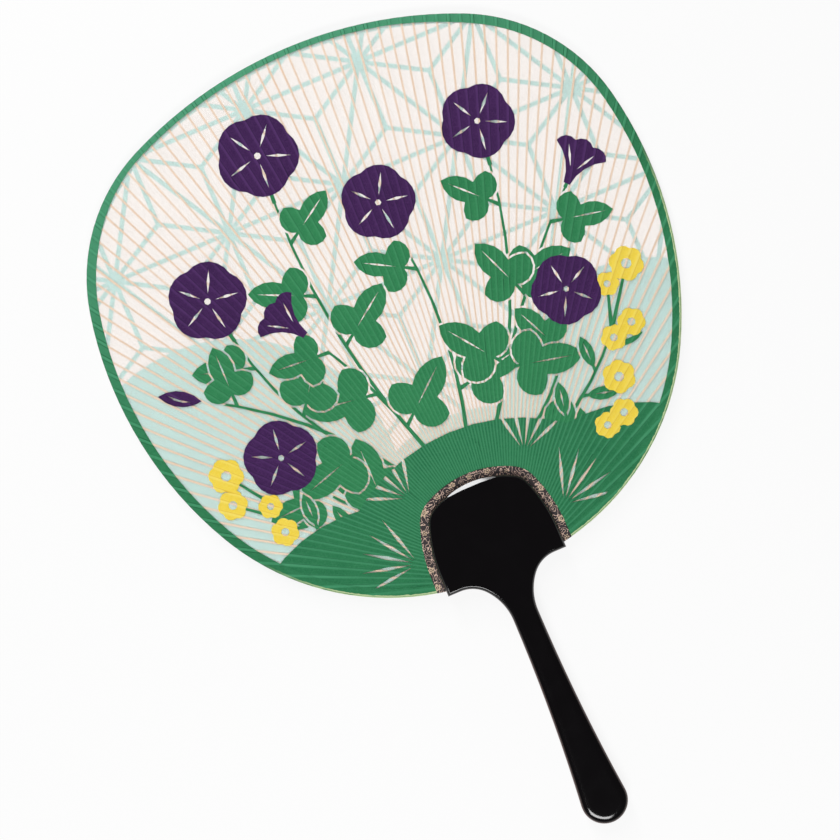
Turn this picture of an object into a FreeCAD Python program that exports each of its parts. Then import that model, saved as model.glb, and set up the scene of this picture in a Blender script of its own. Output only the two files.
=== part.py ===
import FreeCAD, Part
import math
import os
from types import SimpleNamespace

import Sketcher
from FreeCAD import Placement, Rotation, Vector

# A round fan with a lacquered wooden handle. It lies on its back: the blade is level, its front face
# looks up along +Z and its tip points along +Y. The origin is the point that the ribs fan out from,
# on the underside of the handle. Lengths are in millimetres, angles in degrees.
DIMENSIONS = [
    ("blade_foot", 7.3, "rib centre up to where the blade's edge meets the head"),
    ("crown_radius", 220.0, "blade outline over the tip"),
    ("crown_turn", 23.8, "half the sweep of that arc"),
    ("shoulder_radius", 92.0, "blade outline at its upper corners"),
    ("shoulder_turn", 54.3, "sweep of that arc"),
    ("flank_radius", 195.0, "blade outline down its sides"),
    ("flank_turn", 39.2, "sweep of that arc"),
    ("base_radius", 129.3, "blade outline from the sides in to the head"),
    ("handle_thickness", 10.0, "handle, front to back"),
    ("edge_bevel", 1.7, "bevel along the handle's edges"),
    ("head_reach", 53.2, "rib centre to the top of the head"),
    ("head_crown_radius", 46.0, "head outline over its top"),
    ("head_crown_turn", 28.0, "half the sweep of that arc"),
    ("head_corner_radius", 11.0, "head outline at its upper corners"),
    ("head_corner_turn", 40.0, "sweep of that arc"),
    ("head_side_radius", 73.0, "head outline down its sides, until they are upright"),
    ("head_foot", 4.7, "rib centre up to the underside of the head"),
    ("crown_facet_reach", 2.7, "flat planed across the top of the head, along the handle"),
    ("crown_facet_drop", 1.7, "how much thinner that flat leaves the head at its top, on each face"),
    ("neck_width", 13.4, "narrowest part of the handle"),
    ("throat_radius", 16.0, "hollow under the head"),
    ("throat_turn", 50.0, "sweep of that arc"),
    ("neck_radius", 28.0, "hollow from the throat to the narrow neck"),
    ("grip_flare_radius", 960.0, "grip side, widening from neck to end"),
    ("grip_reach", 130.9, "rib centre to the end of the grip"),
    ("slot_depth", 7.0, "kerf in the head that takes the foot of the blade"),
    ("fit_gap", 0.1, "clearance between the blade's layers and the head"),
    ("foot_gap", 0.3, "clearance between the blade's foot and the floor of the kerf"),
    ("rib_pairs", 47, "ribs on each side of the middle one"),
    ("edge_rib_rise", 2.9, "last rib above the blade's edge, where it comes out of the trim"),
    ("rib_thickness", 0.6, "rib, front to back"),
    ("rib_foot_width", 0.72, "rib width at the head"),
    ("rib_tip_width", 1.1, "rib width at the rim"),
    ("gauze_thickness", 0.15, "gauze on the ribs"),
    ("paper_thickness", 0.2, "cut papers"),
    ("binding_thickness", 0.25, "paper folded over the rim"),
    ("binding_width", 4.7, "how far the binding reaches in from the rim"),
    ("trim_width", 4.4, "band round the head"),
    ("trim_thickness", 0.35, "band round the head"),
    ("hill_crest", 80.0, "rib centre to the top of the middle hill"),
    ("hill_radius", 96.0, "middle hill"),
    ("side_hill_crest", 62.0, "rib centre up to the tops of the side hills"),
    ("side_hill_offset", 66.0, "fan axis to the tops of the side hills"),
    ("side_hill_radius", 78.0, "side hills"),
    ("lattice_pitch", 62.0, "side of a triangle of the lattice"),
    ("lattice_line", 2.3, "width of a lattice line"),
    ("far_hill_radius", 84.0, "pale hills on the back paper"),
    ("flower_radius", 20.0, "large flowers"),
    ("blossom_radius", 9.0, "small blossoms"),
    ("leaf_length", 34.0, "leaves"),
    ("sprig_leaf_length", 17.0, "plain leaves of the blossom sprays"),
    ("bud_length", 22.0, "buds"),
    ("stalk_length", 4.5, "leaf stalks"),
    ("vine_width", 2.1, "vine at its foot"),
    ("vine_tip_width", 1.1, "vine at its tip"),
    ("snip_error", 0.22, "most that a straight snip along a cut edge leaves its curve"),
    ("slit_width", 1.0, "veins and lines cut out of the papers"),
    ("grass_length", 26.0, "blades of grass cut out of the hills"),
    ("grass_width", 1.9, "blades of grass at their widest"),
    ("grass_spread", 3.0, "foot of a tuft to where its blades begin"),
    ("least_scrap", 6.0, "area of the smallest scrap of paper that is kept"),
]

doc = FreeCAD.newDocument("round_fan")
sheet = doc.addObject("Spreadsheet::Sheet", "sizes")
for row, (alias, value, meaning) in enumerate(DIMENSIONS, 1):
    sheet.set("A%d" % row, meaning)
    sheet.set("B%d" % row, str(value))
    sheet.setAlias("B%d" % row, alias)
doc.recompute()
dim = SimpleNamespace(**{alias: float(sheet.get(alias)) for alias, value, meaning in DIMENSIONS})

UP = Vector(0, 0, 1)
TOUCHING = 1e-6
subparts = []

# Heights of the blade's layers: back paper, ribs, gauze and front papers, pasted one on the other.
RIB_BACK = "sizes.handle_thickness / 2 - sizes.rib_thickness / 2"
LAYERS = "(sizes.rib_thickness + sizes.gauze_thickness + 2 * sizes.paper_thickness)"
BLADE_BACK = RIB_BACK + " - sizes.paper_thickness"
BLADE_FRONT = BLADE_BACK + " + " + LAYERS
rib_back = (dim.handle_thickness - dim.rib_thickness) / 2
front_paper_back = rib_back + dim.rib_thickness + dim.gauze_thickness
back_paper_back = rib_back - dim.paper_thickness


# Outlines

def spot(centre, radius, turn):
    """Point of a circle at a turn clockwise from +Y."""
    return centre + Vector(radius * math.sin(turn), radius * math.cos(turn), 0)


def mirrored(point):
    return Vector(-point.x, point.y, point.z)


def line(start, end):
    return SimpleNamespace(curve=Part.LineSegment(start, end), start=start, end=end, forward=True, rule=None)


def arc(centre, radius, turn_from, turn_to, rule=None):
    """Arc drawn from one turn to another, with the expression that gives its radius."""
    clockwise = turn_to > turn_from
    low, high = (turn_from, turn_to) if clockwise else (turn_to, turn_from)
    curve = Part.ArcOfCircle(Part.Circle(centre, UP, radius), math.pi / 2 - high, math.pi / 2 - low)
    return SimpleNamespace(curve=curve, start=spot(centre, radius, turn_from),
                           end=spot(centre, radius, turn_to), forward=not clockwise, rule=rule)


def backwards(segments):
    turned = []
    for part in reversed(segments):
        turned.append(SimpleNamespace(curve=part.curve, start=part.end, end=part.start,
                                      forward=not part.forward, rule=part.rule))
    return turned


def tangent_arcs(top, steps):
    """Arcs that follow each other smoothly, the first one level at the top: (alias, sweep) each."""
    arcs = []
    turn = 0.0
    centre = top
    previous = 0.0
    for alias, sweep in steps:
        radius = getattr(dim, alias)
        centre = spot(centre, previous - radius, turn)
        arcs.append(SimpleNamespace(centre=centre, radius=radius, start=turn, end=turn + sweep, alias=alias))
        turn += sweep
        previous = radius
    return arcs


def arched(arcs, grow):
    """The right-hand arcs and their mirror images as one path over the top, moved outwards by grow."""
    def drawn(item, turn_from, turn_to, centre):
        rule = "sizes.%s + %s" % (item.alias, grow.rule)
        return arc(centre, item.radius + grow.value, turn_from, turn_to, rule)

    left = [drawn(item, -item.end, -item.start, mirrored(item.centre)) for item in reversed(arcs[1:])]
    top = [drawn(arcs[0], -arcs[0].end, arcs[0].end, arcs[0].centre)]
    right = [drawn(item, item.start, item.end, item.centre) for item in arcs[1:]]
    return left + top + right


def offset(rule, value):
    return SimpleNamespace(rule="(%s)" % rule, value=value)


head_arcs = tangent_arcs(Vector(0, dim.head_reach, 0), [
    ("head_crown_radius", math.radians(dim.head_crown_turn)),
    ("head_corner_radius", math.radians(dim.head_corner_turn)),
    ("head_side_radius", math.radians(90 - dim.head_crown_turn - dim.head_corner_turn)),
])
head_half_width = head_arcs[-1].centre.x + head_arcs[-1].radius
core_half_width = head_half_width - dim.slot_depth

# The blade's arcs are laid out from a tip at the origin, then moved so that the lowest one meets
# the side of the head at the blade's foot.
blade_arcs = tangent_arcs(Vector(), [
    ("crown_radius", math.radians(dim.crown_turn)),
    ("shoulder_radius", math.radians(dim.shoulder_turn)),
    ("flank_radius", math.radians(dim.flank_turn)),
    ("base_radius", math.radians(180 - dim.crown_turn - dim.shoulder_turn - dim.flank_turn)),
])
base_arc = blade_arcs[-1]
base_drop = math.sqrt(base_arc.radius ** 2 - (head_half_width - base_arc.centre.x) ** 2)
blade_reach = dim.blade_foot + base_drop - base_arc.centre.y
for item in blade_arcs:
    item.centre = item.centre + Vector(0, blade_reach, 0)

FLUSH = offset("0", 0.0)
IN_FOLD = offset("-sizes.binding_thickness", -dim.binding_thickness)
IN_BINDING = offset("-sizes.binding_width", -dim.binding_width)
PAST_BINDING = offset("-2 * sizes.binding_width", -2 * dim.binding_width)
ON_CORE = offset("-sizes.slot_depth", -dim.slot_depth)
OFF_CORE = offset("sizes.foot_gap - sizes.slot_depth", dim.foot_gap - dim.slot_depth)
ON_HEAD = offset("sizes.fit_gap", dim.fit_gap)
PAST_TRIM = offset("sizes.trim_width", dim.trim_width)


def base_turn(grow, across):
    """Turn at which the blade's lowest arc comes to a distance from the fan's axis."""
    return math.pi - math.asin((across - base_arc.centre.x) / (base_arc.radius + grow.value))


def base_point(grow, across):
    return spot(base_arc.centre, base_arc.radius + grow.value, base_turn(grow, across))


def blade_path(grow, foot):
    """Blade outline from the left foot over the tip to the right foot."""
    arcs = [SimpleNamespace(**vars(item)) for item in blade_arcs]
    arcs[-1].end = base_turn(grow, foot)
    return arched(arcs, grow)


def head_path(grow, foot_height):
    """Head outline from the left foot over the top to the right foot."""
    over = arched(head_arcs, grow)
    left_foot = Vector(over[0].start.x, foot_height, 0)
    right_foot = Vector(over[-1].end.x, foot_height, 0)
    return [line(left_foot, over[0].start)] + over + [line(over[-1].end, right_foot)]


def band(outer, inner):
    """Loop between two paths that both run from left to right, with straight ends where they part."""
    paths = [outer, backwards(inner)]
    loop = []
    for path, following in zip(paths, reversed(paths)):
        loop += path
        if path[-1].end.distanceToPoint(following[0].start) > TOUCHING:
            loop.append(line(path[-1].end, following[0].start))
    return loop


def blade_loop(grow):
    """Blade layer inside the rim, cut out round the core that the kerf leaves in the head."""
    foot = base_point(grow, core_half_width + dim.foot_gap)
    return band(blade_path(grow, foot.x), head_path(OFF_CORE, foot.y))


# Sketched pieces

def heading(item, at_end):
    """Direction of travel at one end of a segment."""
    curve = item.curve
    last = at_end == item.forward
    tangent = curve.tangent(curve.LastParameter if last else curve.FirstParameter)[0]
    return tangent if item.forward else tangent.negative()


def draw(body, name, height, segments, plane="XY_Plane"):
    """Sketch of a closed loop on one of the body's planes, raised by an expression."""
    ground = [item for item in body.Origin.OriginFeatures if item.Role == plane][0]
    sketch = body.newObject("Sketcher::SketchObject", name)
    sketch.AttachmentSupport = [(ground, "")]
    sketch.MapMode = "FlatFace"
    sketch.setExpression("AttachmentOffset.Base.z", height)
    sketch.addGeometry([item.curve for item in segments], False)
    for index, item in enumerate(segments):
        following = (index + 1) % len(segments)
        then = segments[following]
        here = 2 if item.forward else 1
        there = 1 if then.forward else 2
        smooth = heading(item, True).getAngle(heading(then, False)) < 1e-4
        kind = "Tangent" if smooth and (item.rule or then.rule) else "Coincident"
        sketch.addConstraint(Sketcher.Constraint(kind, index, here, following, there))
    for index, item in enumerate(segments):
        if item.rule:
            held = sketch.addConstraint(Sketcher.Constraint("Radius", index, item.curve.Radius))
            sketch.setExpression("Constraints[%d]" % held, item.rule)
    return sketch


def new_body(label):
    body = doc.addObject("PartDesign::Body", label)
    subparts.append(body)
    return body


def pad(body, name, sketch, length):
    feature = body.newObject("PartDesign::Pad", name)
    feature.Profile = sketch
    feature.setExpression("Length", length)
    doc.recompute()
    return feature


def pocket(body, name, sketch, length, both_ways=False):
    """Cut downwards from the sketch, or to both its sides; it has to take something away."""
    before = body.Shape.Volume
    feature = body.newObject("PartDesign::Pocket", name)
    feature.Profile = sketch
    feature.SideType = "Symmetric" if both_ways else "One side"
    feature.setExpression("Length", length)
    doc.recompute()
    if body.Shape.Volume > before - 1:
        raise RuntimeError("%s cut nothing" % name)
    return feature


def handle_loop():
    """Head, hollow throats, narrow neck and a grip that widens to its round end."""
    corner = Vector(head_half_width, dim.head_foot, 0)
    throat = math.radians(dim.throat_turn)
    lip_end = (dim.neck_width / 2 + dim.neck_radius * (1 - math.sin(throat))
               + dim.throat_radius * math.sin(throat))
    lip = Vector(lip_end, dim.head_foot, 0)
    throat_centre = lip - Vector(0, dim.throat_radius, 0)
    neck_centre = spot(throat_centre, dim.throat_radius - dim.neck_radius, -throat)
    neck = spot(neck_centre, dim.neck_radius, -math.pi / 2)
    flare_centre = neck + Vector(dim.grip_flare_radius, 0, 0)
    drop = neck.y + dim.grip_reach
    end_radius = ((flare_centre.x ** 2 - dim.grip_flare_radius ** 2 + drop ** 2)
                  / (2 * (dim.grip_flare_radius + drop)))
    end_centre = Vector(0, end_radius - dim.grip_reach, 0)
    towards = flare_centre - end_centre
    end_turn = math.atan2(towards.x, towards.y)
    right = [
        line(corner, lip),
        arc(throat_centre, dim.throat_radius, 0, -throat, "sizes.throat_radius"),
        arc(neck_centre, dim.neck_radius, -throat, -math.pi / 2, "sizes.neck_radius"),
        arc(flare_centre, dim.grip_flare_radius, -math.pi / 2, end_turn - math.pi,
            "sizes.grip_flare_radius"),
    ]
    left = [
        arc(mirrored(flare_centre), dim.grip_flare_radius, math.pi - end_turn, math.pi / 2,
            "sizes.grip_flare_radius"),
        arc(mirrored(neck_centre), dim.neck_radius, math.pi / 2, throat, "sizes.neck_radius"),
        arc(mirrored(throat_centre), dim.throat_radius, throat, 0, "sizes.throat_radius"),
        line(mirrored(lip), mirrored(corner)),
    ]
    end = [arc(end_centre, end_radius, end_turn, 2 * math.pi - end_turn)]
    return head_path(FLUSH, dim.head_foot) + right + end + left


# How far a crown facet's cut runs on past the top of the head, against the facet's own reach.
FACET_RUN = 1.5


def make_handle():
    body = new_body("handle")
    blank = pad(body, "blank", draw(body, "handle_outline", "0", handle_loop()), "sizes.handle_thickness")
    bevel = body.newObject("PartDesign::Chamfer", "bevelled_edges")
    level = ["Edge%d" % number for number, edge in enumerate(blank.Shape.Edges, 1)
             if edge.BoundBox.ZLength < TOUCHING]
    bevel.Base = (blank, level)
    bevel.setExpression("Size", "min(sizes.edge_bevel; 0.4 * sizes.handle_thickness)")
    doc.recompute()
    for name, face, inwards in (("front_facet", dim.handle_thickness, -1), ("back_facet", 0.0, 1)):
        inner = Vector(dim.head_reach - dim.crown_facet_reach, face, 0)
        fall = Vector(dim.crown_facet_reach, inwards * dim.crown_facet_drop, 0)
        outer = inner + fall * FACET_RUN
        above = Vector(outer.x, face, 0)
        facet = [line(inner, outer), line(outer, above), line(above, inner)]
        outline = draw(body, name + "_outline", "0", facet, "YZ_Plane")
        pocket(body, name, outline, "4 * sizes.head_crown_radius", both_ways=True)
    floor = base_point(IN_FOLD, core_half_width + dim.foot_gap).y - dim.foot_gap
    clear = dim.trim_width
    left, right = -head_half_width - clear, head_half_width + clear
    above = dim.head_reach + clear
    frame = [
        line(Vector(left, floor, 0), Vector(left, above, 0)),
        line(Vector(left, above, 0), Vector(right, above, 0)),
        line(Vector(right, above, 0), Vector(right, floor, 0)),
    ]
    loop = band(frame, head_path(ON_CORE, floor))
    kerf = draw(body, "kerf_outline", BLADE_FRONT + " + sizes.fit_gap", loop)
    pocket(body, "kerf", kerf, LAYERS + " + 2 * sizes.fit_gap")


def make_gauze():
    body = new_body("gauze_sheet")
    outline = draw(body, "gauze_outline", RIB_BACK + " + sizes.rib_thickness", blade_loop(IN_FOLD))
    pad(body, "gauze", outline, "sizes.gauze_thickness")


def make_rim_binding():
    """Paper folded over the blade's edge, from one side of the head round to the other."""
    body = new_body("rim_binding")
    foot = head_half_width + dim.trim_width + dim.fit_gap
    strip = band(blade_path(FLUSH, foot), blade_path(IN_BINDING, foot))
    under = BLADE_BACK + " - sizes.binding_thickness"
    pad(body, "strip", draw(body, "strip_outline", under, strip), LAYERS + " + 2 * sizes.binding_thickness")
    fold = band(blade_path(IN_FOLD, foot - dim.fit_gap), blade_path(PAST_BINDING, foot - dim.fit_gap))
    pocket(body, "fold", draw(body, "fold_outline", BLADE_FRONT, fold), LAYERS)


def make_neck_trim(label, under):
    """Flat band that follows the head and ends at the blade's lower edge."""
    body = new_body(label)
    inner_foot = base_point(FLUSH, head_half_width + dim.fit_gap)
    outer_foot = base_point(FLUSH, head_half_width + dim.trim_width)
    loop = band(head_path(PAST_TRIM, outer_foot.y), head_path(ON_HEAD, inner_foot.y))
    pad(body, "band", draw(body, "band_outline", under, loop), "sizes.trim_thickness")


# Ribs

def hit(direction, item, grow):
    """Distance from the origin out to an arc along a direction, or None where it misses."""
    radius = item.radius + grow.value
    along = item.centre.dot(direction)
    inside = radius ** 2 - item.centre.Length ** 2 + along ** 2
    if inside < 0:
        return None
    distance = along + math.sqrt(inside)
    towards = direction * distance - item.centre
    turn = math.atan2(towards.x, towards.y)
    return distance if item.start - 1e-9 <= turn <= item.end + 1e-9 else None


def rim_distance(angle, grow):
    """Distance from the rib centre to the blade's outline along a rib."""
    direction = spot(Vector(), 1, abs(angle))
    return max(filter(None, [hit(direction, item, grow) for item in blade_arcs]))


def core_distance(angle, grow):
    """Distance from the rib centre to the outline of the head, or of its core."""
    direction = spot(Vector(), 1, abs(angle))
    hits = list(filter(None, [hit(direction, item, grow) for item in head_arcs]))
    return hits[0] if hits else (head_half_width + grow.value) / direction.x


def rib_angles():
    """Angles of the ribs on one side: evenly spaced across the ribs where they meet the rim."""
    pairs = int(dim.rib_pairs)
    edge = base_point(FLUSH, head_half_width + dim.trim_width)
    last = math.atan2(edge.x, edge.y + dim.edge_rib_rise)
    steps = 4000
    swept = [0.0]
    for step in range(steps):
        swept.append(swept[-1] + rim_distance((step + 0.5) * last / steps, IN_FOLD))
    angles = []
    step = 0
    for number in range(1, pairs + 1):
        while swept[step] < swept[-1] * number / pairs - 1e-6:
            step += 1
        angles.append(step * last / steps)
    return angles


def make_rib(name, angle):
    """Bamboo strip that widens from the kerf out to the fold of the rim."""
    foot = core_distance(angle, OFF_CORE)
    foot_lean = dim.rib_foot_width / 2 / foot
    foot = max(core_distance(angle + lean, OFF_CORE) for lean in (-foot_lean, 0, foot_lean)) + dim.fit_gap
    tip = rim_distance(angle, IN_FOLD)
    tip_lean = dim.rib_tip_width / 2 / tip
    tip = min(rim_distance(angle + lean, IN_FOLD) for lean in (-tip_lean, 0, tip_lean)) - dim.fit_gap
    rib = doc.addObject("Part::Wedge", name)
    for end, width in (("X", "sizes.rib_foot_width"), ("X2", "sizes.rib_tip_width")):
        rib.setExpression(end + "min", "-%s / 2" % width)
        rib.setExpression(end + "max", "%s / 2" % width)
    for side in ("Z", "Z2"):
        setattr(rib, side + "min", 0)
        rib.setExpression(side + "max", "sizes.rib_thickness")
    rib.Ymin = 0
    rib.Ymax = tip - foot
    rib.Placement = Placement(spot(Vector(0, 0, rib_back), foot, angle), Rotation(UP, -math.degrees(angle)))
    return rib


def make_ribs():
    subparts.append(make_rib("rib_centre", 0.0))
    for number, angle in enumerate(rib_angles(), 1):
        right = make_rib("rib_%02d_right" % number, angle)
        left = doc.addObject("Part::Mirroring", "rib_%02d_left" % number)
        left.Source = right
        left.Normal = Vector(1, 0, 0)
        pair = doc.addObject("Part::Compound", "rib_pair_%02d" % number)
        pair.Links = [right, left]
        subparts.append(pair)


# Cut papers

def on_blade(degrees, share):
    """Place on the blade: a rib's angle, and how far along from the trim (0) to the binding (1)."""
    angle = math.radians(degrees)
    near = core_distance(angle, PAST_TRIM)
    far = rim_distance(angle, IN_BINDING)
    return spot(Vector(), near + share * (far - near), angle)


def snips(sweep, radius):
    """How many straight snips follow an arc."""
    return max(1, math.ceil(abs(sweep) / 2 / math.acos(1 - min(1, dim.snip_error / abs(radius)))))


def bowed(start, end, bow):
    """Points along an arc from start to end whose middle stands to the left by bow; end is left out."""
    if abs(bow) < TOUCHING:
        return [start]
    chord = end - start
    along = chord / chord.Length
    side = UP.cross(along)
    radius = (chord.Length ** 2 / 4 + bow ** 2) / (2 * bow)
    centre = (start + end) / 2 + side * (bow - radius)
    half = 2 * math.atan(2 * bow / chord.Length)
    count = snips(2 * half, radius)
    turns = [half * (2 * number / count - 1) for number in range(count)]
    return [centre + side * (radius * math.cos(turn)) + along * (radius * math.sin(turn)) for turn in turns]


def lens(start, end, left, right):
    """Pointed outline between two arcs, such as a plain leaf or a crescent."""
    return bowed(start, end, left) + bowed(end, start, right)


def slit(start, end, width):
    """Narrow opening, pointed at both ends."""
    across = UP.cross(end - start).normalize() * (width / 2)
    return [start, (start + end) / 2 - across, end, (start + end) / 2 + across]


def circle(centre, radius):
    count = snips(2 * math.pi, radius)
    return [spot(centre, radius, 2 * math.pi * number / count) for number in range(count)]


def grown(points, distance):
    """Outline moved outwards, with its corners kept sharp."""
    neighbours = list(zip(points[-1:] + points[:-1], points, points[1:] + points[:1]))
    area = sum(before.x * point.y - point.x * before.y for before, point, after in neighbours)
    outwards = math.copysign(distance, area)
    moved = []
    for before, point, after in neighbours:
        first = (point - before).normalize().cross(UP)
        second = (after - point).normalize().cross(UP)
        moved.append(point + (first + second) * (outwards / (1 + first.dot(second))))
    return moved


def upward(face):
    return face if face.normalAt(0, 0).z > 0 else face.reversed()


def filled(wires):
    """Flat face of the first wire with the others as openings, front side up."""
    return upward(Part.makeFace(wires, "Part::FaceMakerBullseye").Faces[0])


def cut_paper(outline, openings=()):
    return filled([Part.makePolygon(points + points[:1]) for points in [outline] + list(openings)])


def blade_face(grow):
    return filled([Part.Wire([item.curve.toShape() for item in blade_loop(grow)])])


def placed(shape, point, direction):
    """Shape drawn along +Y from the origin, moved to a point and turned to a direction."""
    moved = shape.copy()
    moved.Placement = Placement(point, Rotation(Vector(0, 1, 0), Vector(direction.x, direction.y, 0)))
    return moved


def turned(direction, degrees):
    return Rotation(UP, degrees).multVec(direction)


def stem(start, end, bow):
    """Bowed stem that tapers from its foot to its tip."""
    across = UP.cross(end - start).normalize()
    foot = across * dim.vine_width / 2
    tip = across * dim.vine_tip_width / 2
    left = bowed(start + foot, end + tip, bow) + [end + tip]
    right = bowed(end - tip, start - foot, -bow) + [start - foot]
    return cut_paper(left + right)


def stem_point(start, end, bow, share):
    """Point along a stem, and the direction in which it grows there."""
    axis = end - start
    side = UP.cross(axis).normalize()
    point = start + axis * share + side * (4 * bow * share * (1 - share))
    growth = axis + side * (4 * bow * (1 - 2 * share))
    return point, growth.normalize()


def scaled_points(length, *pairs):
    return [Vector(across, along, 0) * length for across, along in pairs]


def lobed_leaf(length):
    """Three-lobed leaf with a heart-shaped foot and a midrib."""
    notch, lobe, inlet, tip = scaled_points(length, (0, 0.08), (0.47, 0.31), (0.2, 0.44), (0, 1))
    lobe_bow, inlet_bow, tip_bow = -0.2 * length, -0.03 * length, -0.1 * length
    right = bowed(notch, lobe, lobe_bow) + bowed(lobe, inlet, inlet_bow) + bowed(inlet, tip, tip_bow)
    left = (bowed(tip, mirrored(inlet), tip_bow) + bowed(mirrored(inlet), mirrored(lobe), inlet_bow)
            + bowed(mirrored(lobe), notch, lobe_bow))
    foot, end = scaled_points(length, (0, 0.22), (0, 0.86))
    return SimpleNamespace(outline=right + left, openings=[slit(foot, end, dim.slit_width)])


def plain_leaf(length):
    """Narrow leaf with a midrib."""
    width = 0.2 * length
    foot, end, tip = scaled_points(length, (0, 0.25), (0, 0.8), (0, 1))
    return SimpleNamespace(outline=lens(Vector(), tip, width, width),
                           openings=[slit(foot, end, dim.slit_width)])


def rosette(radius, notch, petals):
    """Round flower outline with as many arcs as petals, which meet at a share of its radius."""
    step = 2 * math.pi / petals
    bow = radius * (1 - notch * math.cos(step / 2))
    points = []
    for number in range(petals):
        start = spot(Vector(), notch * radius, number * step)
        end = spot(Vector(), notch * radius, (number + 1) * step)
        points += bowed(start, end, bow)
    return points


def flower(radius):
    """Open trumpet flower seen from the front: five broad lobes, a pale star and a throat."""
    petals = 5
    openings = [circle(Vector(), 0.085 * radius)]
    for number in range(petals):
        turn = (number + 0.5) * 2 * math.pi / petals
        openings.append(slit(spot(Vector(), 0.2 * radius, turn), spot(Vector(), 0.8 * radius, turn),
                             1.5 * dim.slit_width))
    return SimpleNamespace(outline=rosette(radius, 0.9, petals), openings=openings)


def side_flower(radius):
    """The same flower seen from the side: a narrow tube that opens to a scalloped edge."""
    tube, rim, scallop = scaled_points(radius, (0.1, 0), (0.8, 1.05), (0.28, 1.28))
    flare, scallop_bow = -0.16 * radius, 0.14 * radius
    points = bowed(mirrored(tube), mirrored(rim), flare)
    for start, end in ((mirrored(rim), mirrored(scallop)), (mirrored(scallop), scallop), (scallop, rim)):
        points += bowed(start, end, scallop_bow)
    points += bowed(rim, tube, flare) + [tube]
    foot, end = scaled_points(radius, (0.1, 0.5), (0.42, 1.1))
    width = 1.2 * dim.slit_width
    openings = [slit(foot, end, width), slit(mirrored(foot), mirrored(end), width)]
    return SimpleNamespace(outline=points, openings=openings)


def bud(length):
    """Closed flower, with one twisted fold cut along it."""
    width = 0.18 * length
    foot, end, tip = scaled_points(length, (-0.04, 0.22), (0.05, 0.8), (0, 1))
    fold = lens(foot, end, 1.6 * dim.slit_width, -0.6 * dim.slit_width)
    return SimpleNamespace(outline=lens(Vector(), tip, width, width), openings=[fold])


def blossom(radius):
    """Small round blossom with six petals and an open eye."""
    return SimpleNamespace(outline=rosette(radius, 0.86, 6), openings=[circle(Vector(), 0.3 * radius)])


def joined(faces):
    """Whole sheets from faces that overlap or touch."""
    pieces = faces[0].multiFuse(faces[1:]).Faces
    return Part.makeShell(pieces).removeSplitter()


def paper(label, faces, height):
    """Sheets of cut paper of one colour, as a group of flat solids."""
    whole = [upward(face) for face in faces if face.Area > dim.least_scrap]
    outline = doc.addObject("Part::Feature", label + "_outline")
    outline.Shape = Part.makeCompound(whole)
    outline.Placement = Placement(Vector(0, 0, height), Rotation())
    cut = doc.addObject("Part::Extrusion", label)
    cut.Base = outline
    cut.DirMode = "Custom"
    cut.Dir = UP
    cut.setExpression("LengthFwd", "sizes.paper_thickness")
    cut.Solid = True
    subparts.append(cut)


# Leaves along a vine: the shares of its length where the first and last one grow, how they shrink
# along it, and the angle at which they stand off, which closes towards the tip.
FIRST_LEAF, LAST_LEAF = 0.34, 0.86
LEAF_SCALE, LEAF_SHRINK = 1.15, 0.4
LEAF_ANGLE, LEAF_CLOSING = 74, 20
# How far a stalk runs on under its leaf, and how far a flower's middle stands past its stem,
# as shares of their sizes.
STALK_TUCK = 0.15
FLOWER_STAND = 1.1
# Leaves along a spray: the shares of the first and last one, and their angle.
FIRST_SPRAY_LEAF, LAST_SPRAY_LEAF = 0.4, 0.91
SPRAY_LEAF_ANGLE = 50
ENDING_SIZES = {flower: dim.flower_radius, side_flower: dim.flower_radius, bud: dim.bud_length}

# Climbing vines: the angles of foot and tip, how far the tip reaches, the bow, the side of each leaf
# in turn, and what the vine ends in, with its scale.
VINES = [
    (-5, -9, 0.74, 10, "lrlr", flower, 1.05),
    (-13, -26, 0.60, 12, "lrl", flower, 1.0),
    (2, 5, 0.54, -8, "rl", flower, 0.95),
    (9, 20, 0.69, -12, "lrl", flower, 0.95),
    (17, 35, 0.40, -8, "rl", flower, 0.9),
    (-24, -41, 0.36, 8, "rl", flower, 0.95),
    (-9, -17, 0.46, -5, "rl", side_flower, 0.85),
    (13, 31, 0.72, 6, "rlr", side_flower, 0.85),
    (-19, -37, 0.70, -9, "lr", bud, 1.0),
]
# Sprays of blossoms: the angles of foot and fork, how far the fork reaches, the bow, the side of each
# leaf in turn, and the places of the blossoms as angle, share and scale.
SPRAYS = [
    (-34, -52, 0.50, 6, "lrlr", [(-47, 0.74, 1.0), (-52, 0.82, 0.85), (-55, 0.66, 0.8), (-50, 0.62, 0.7)]),
    (28, 45, 0.58, -6, "lrlr", [(43, 0.76, 1.0), (48, 0.70, 0.8), (46, 0.58, 0.75), (41, 0.64, 0.7)]),
    (38, 53, 0.38, -4, "lrlr", [(51, 0.56, 0.95), (57, 0.58, 0.8), (55, 0.44, 0.75)]),
]
SIDES = {"l": 1, "r": -1}
# Tufts of grass cut out of the hills: the angle and share of each foot, and the blades' angles from
# the rib there.
TUFTS = [-57, -28, 29, 58]
TUFT_SHARE = 0.04
TUFT_BLADES = [-40, -20, 0, 20, 40]


def laid(below, leaf):
    """Lay a leaf and its stalk over the green pieces so far, which are cut back by a slit round it."""
    room = placed(cut_paper(grown(leaf.drawing.outline, dim.slit_width)), leaf.point, leaf.direction)
    blade = placed(cut_paper(leaf.drawing.outline, leaf.drawing.openings), leaf.point, leaf.direction)
    pieces = []
    for piece in below:
        if piece.BoundBox.intersect(room.BoundBox) or piece.BoundBox.intersect(leaf.stalk.BoundBox):
            pieces += [face for face in piece.cut([room, leaf.stalk]).Faces if face.Area > dim.least_scrap]
        else:
            pieces.append(piece)
    return pieces + joined([blade, leaf.stalk]).Faces


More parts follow.
